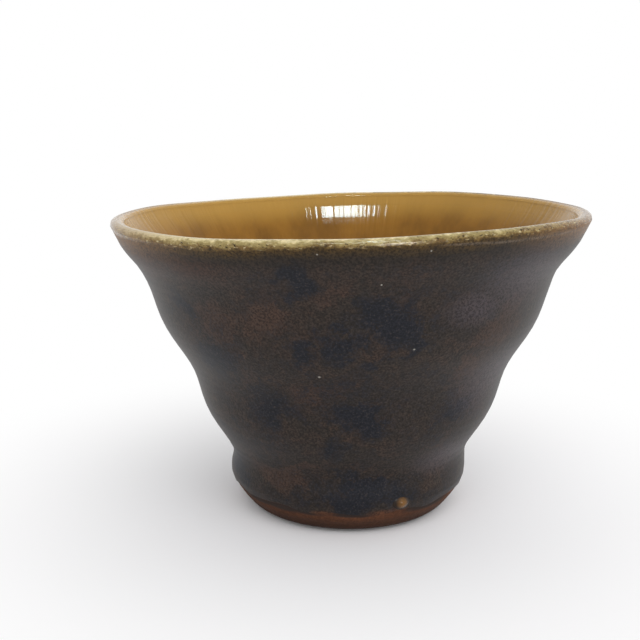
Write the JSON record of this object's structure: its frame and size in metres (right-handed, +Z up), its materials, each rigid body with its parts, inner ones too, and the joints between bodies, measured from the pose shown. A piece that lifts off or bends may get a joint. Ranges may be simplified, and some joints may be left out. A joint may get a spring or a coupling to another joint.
{
  "type": "tea cup",
  "caption": "Small hand-thrown stoneware tea cup with a flaring, ringed wall, a rounded lip and a short trimmed foot, glazed dark outside and amber inside, for holding a hot drink.",
  "frame": {"origin": "centre of the foot ring, on the surface that the cup stands on", "axes": "+Z up along the axis that the cup was thrown on, +X to the right and -Y to the front"},
  "size_m": [0.0912, 0.0912, 0.0591],
  "materials": {
    "stoneware": "bare fired clay, matt",
    "iron_glaze": "dark iron glaze, satin and mottled",
    "olive_glaze": "thin olive glaze over the lip, glossy and speckled",
    "amber_glaze": "clear amber glaze, glossy"
  },
  "bodies": {
    "root": {"stoneware_body": "stoneware", "outer_glaze": "iron_glaze", "lip_glaze_band": "olive_glaze", "inner_glaze": "amber_glaze", "glaze_bead": "amber_glaze"}
  },
  "joints": []
}
